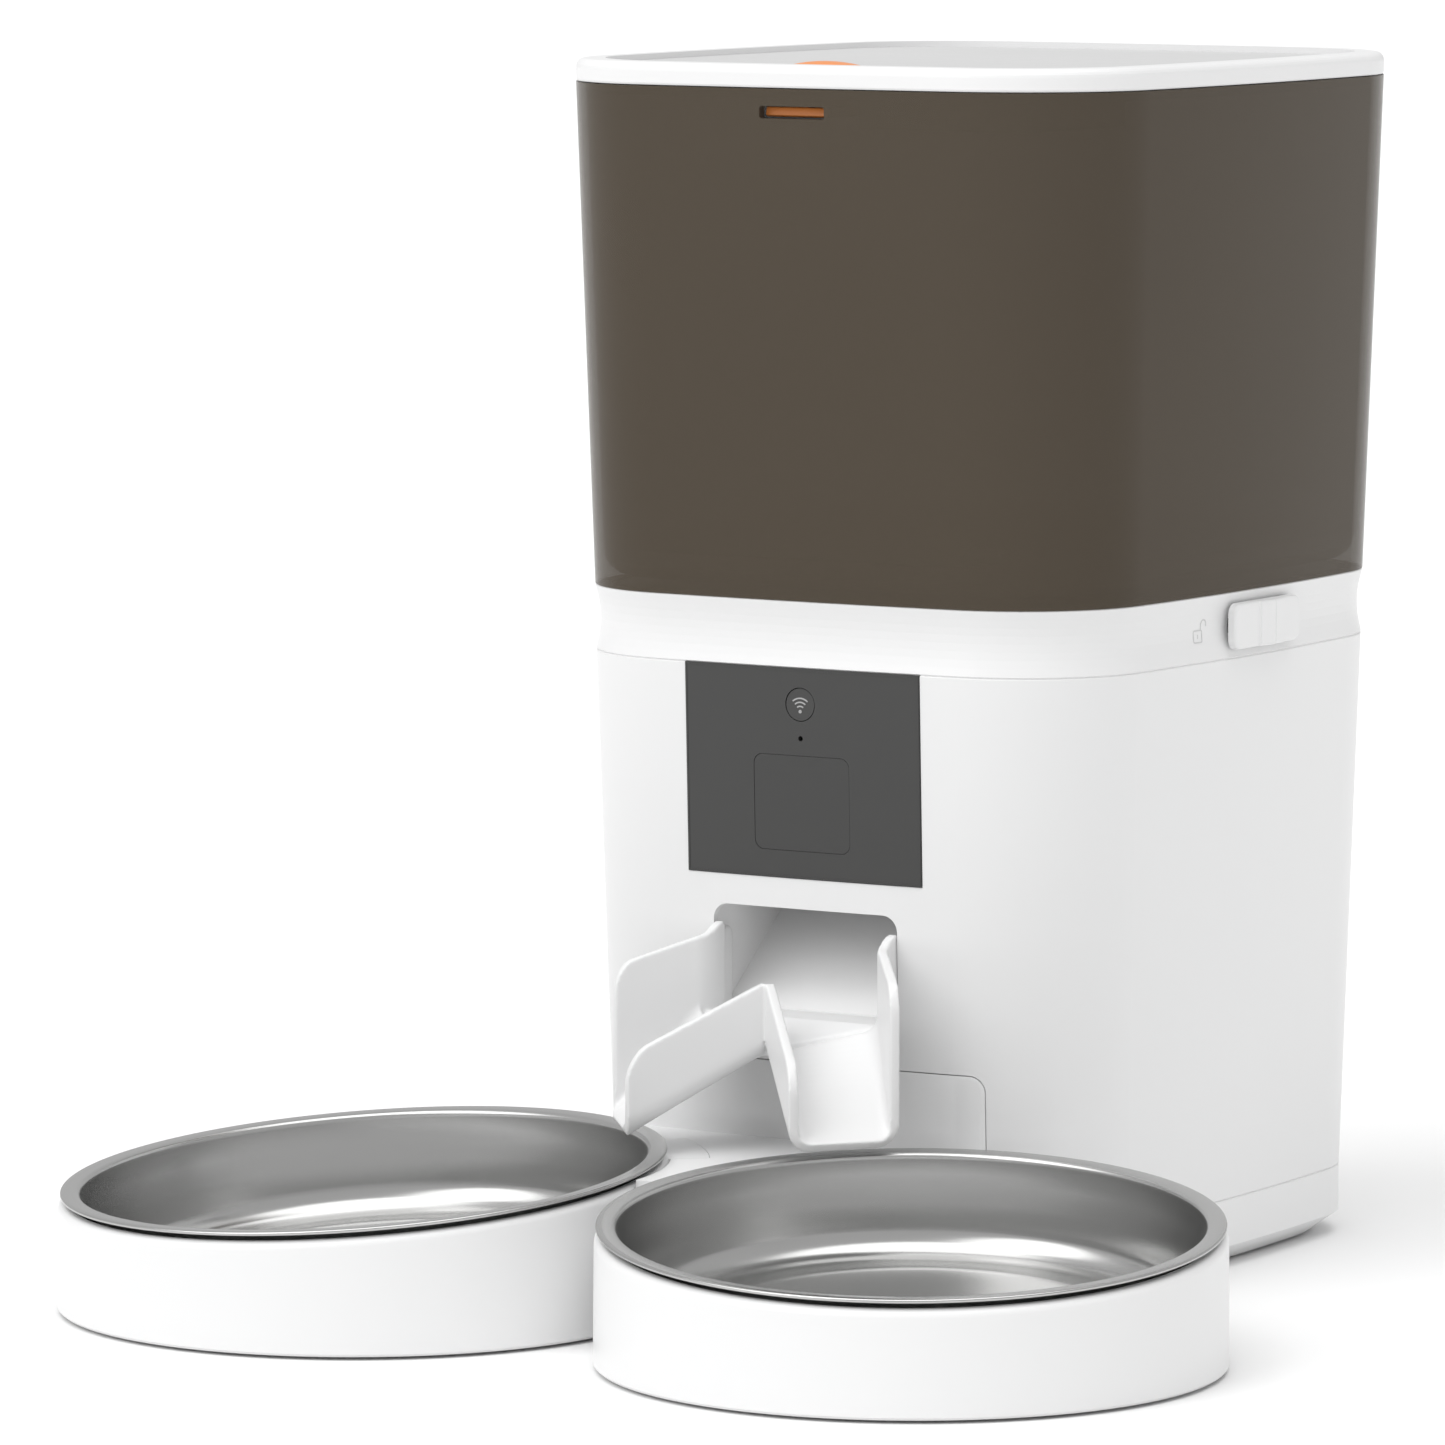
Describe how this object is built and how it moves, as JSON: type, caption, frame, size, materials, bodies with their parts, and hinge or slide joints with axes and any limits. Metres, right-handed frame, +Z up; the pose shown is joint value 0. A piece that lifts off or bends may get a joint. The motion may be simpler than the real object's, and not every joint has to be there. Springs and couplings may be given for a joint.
{
  "type": "automatic pet feeder",
  "caption": "Upright pet feeder: smoked food tank with hinged lid over a white housing, outlet with a forked chute feeding a pair of tilted steel bowls on a plug-in stand.",
  "frame": {"origin": "on the floor, under the middle of the whole footprint", "axes": "+Z up; the front, with the outlet and bowls, faces -Y; +X is to the right of a person who looks at the front"},
  "size_m": [0.373, 0.4142, 0.3701],
  "materials": {
    "white_shell": "smooth gloss",
    "smoke_tank": "clear smoke",
    "smoke_funnel": "clear smoke",
    "pale_grey": "satin",
    "duct_grey": "satin",
    "orange_latch": "satin",
    "dark_panel": "satin gloss",
    "dark_window": "satin gloss",
    "dark_button": "satin",
    "bowl_steel": "satin brushed",
    "pin_steel": "plain",
    "black_rubber": "matt",
    "silicone": "matt",
    "inner_plastic": "moulded",
    "door_white": "moulded",
    "nylon": "moulded",
    "paddle_plastic": "moulded",
    "motor_metal": "plain",
    "contact_metal": "plated",
    "board_green": "coated",
    "chip_dark": "moulded"
  },
  "bodies": {
    "housing": {"body_shell": "white_shell", "base_tray": "white_shell", "battery_bay": "inner_plastic", "battery_contacts": "contact_metal", "rubber_feet": "black_rubber", "housing_screws": "pin_steel", "stand_socket": "inner_plastic", "collar": "white_shell", "rotor_chamber": "inner_plastic", "rotor_bush": "nylon", "chamber_seal": "silicone", "motor_plate": "inner_plastic", "gearbox_case": "inner_plastic", "motor_can": "motor_metal", "motor_screws": "pin_steel", "outlet_duct": "duct_grey", "food_sensors": "chip_dark", "control_panel": "dark_panel", "panel_window": "dark_window", "main_board": "board_green", "button_switch": "chip_dark", "radio_module": "chip_dark", "power_inlet": "motor_metal", "inlet_board": "board_green", "speaker": "motor_metal"},
    "tank": {"hopper_tank": "smoke_tank", "tank_funnel": "smoke_funnel", "hinge_pin": "pin_steel"},
    "lid": {"lid_frame": "white_shell", "lid_panel": "pale_grey", "lid_seal": "silicone", "desiccant_box": "inner_plastic"},
    "latch": {"lid_latch": "orange_latch"},
    "lock": {"lock_slider": "white_shell", "lock_bolt": "inner_plastic"},
    "button": {"wifi_button": "dark_button"},
    "rotor": {"rotor_shaft": "pin_steel", "paddle_wheel": "paddle_plastic", "stirrer": "paddle_plastic", "drive_gear": "nylon"},
    "pinion": {"motor_pinion": "nylon"},
    "chute": {"chute_splitter": "white_shell"},
    "stand": {"stand_bridge": "white_shell", "right_holder": "white_shell", "left_holder": "white_shell", "stand_pads": "black_rubber"},
    "right_dish": {"right_bowl": "bowl_steel"},
    "left_dish": {"left_bowl": "bowl_steel"},
    "battery_cover": {"battery_door": "door_white"}
  },
  "joints": [
    {"name": "tank_lift", "type": "slide", "parent": "housing", "child": "tank", "axis": [0, 0, 1], "range_m": [0, 0.06]},
    {"name": "lid_hinge", "type": "hinge", "parent": "tank", "child": "lid", "pos_m": [0, 0.20393, 0.3656], "axis": [-1, 0, 0], "range_deg": [0, 100]},
    {"name": "latch_slide", "type": "slide", "parent": "lid", "child": "latch", "axis": [0, 1, 0], "range_m": [0, 0.004], "stiffness_N_per_m": 300, "springref_m": -0.001},
    {"name": "lock_slide", "type": "slide", "parent": "housing", "child": "lock", "axis": [0, -1, 0], "range_m": [0, 0.012]},
    {"name": "button_press", "type": "slide", "parent": "housing", "child": "button", "axis": [0, 1, 0], "range_m": [0, 0.0008], "stiffness_N_per_m": 600, "springref_m": -0.0005},
    {"name": "rotor_spin", "type": "hinge", "parent": "housing", "child": "rotor", "pos_m": [0, 0.08596, 0.15], "axis": [0, 0, 1], "continuous": true},
    {"name": "pinion_spin", "type": "hinge", "parent": "housing", "child": "pinion", "pos_m": [0, 0.11206, 0.14], "axis": [0, 0, 1], "continuous": true},
    {"name": "chute_pull", "type": "slide", "parent": "housing", "child": "chute", "axis": [0, -1, 0], "range_m": [0, 0.03]},
    {"name": "stand_pull", "type": "slide", "parent": "housing", "child": "stand", "axis": [0, -1, 0], "range_m": [0, 0.018]},
    {"name": "right_bowl_tip", "type": "hinge", "parent": "stand", "child": "right_dish", "pos_m": [0.05387, -0.03491, 0.04855], "axis": [-0.891, -0.454, 0], "range_deg": [0, 20]},
    {"name": "left_bowl_tip", "type": "hinge", "parent": "stand", "child": "left_dish", "pos_m": [-0.05387, -0.03491, 0.04855], "axis": [-0.891, 0.454, 0], "range_deg": [0, 20]},
    {"name": "battery_door_pull", "type": "slide", "parent": "housing", "child": "battery_cover", "axis": [0, 0, -1], "range_m": [0, 0.012]}
  ],
  "couplings": [
    {"joint": "pinion_spin", "follows": "rotor_spin", "ratio": -3.3333}
  ]
}
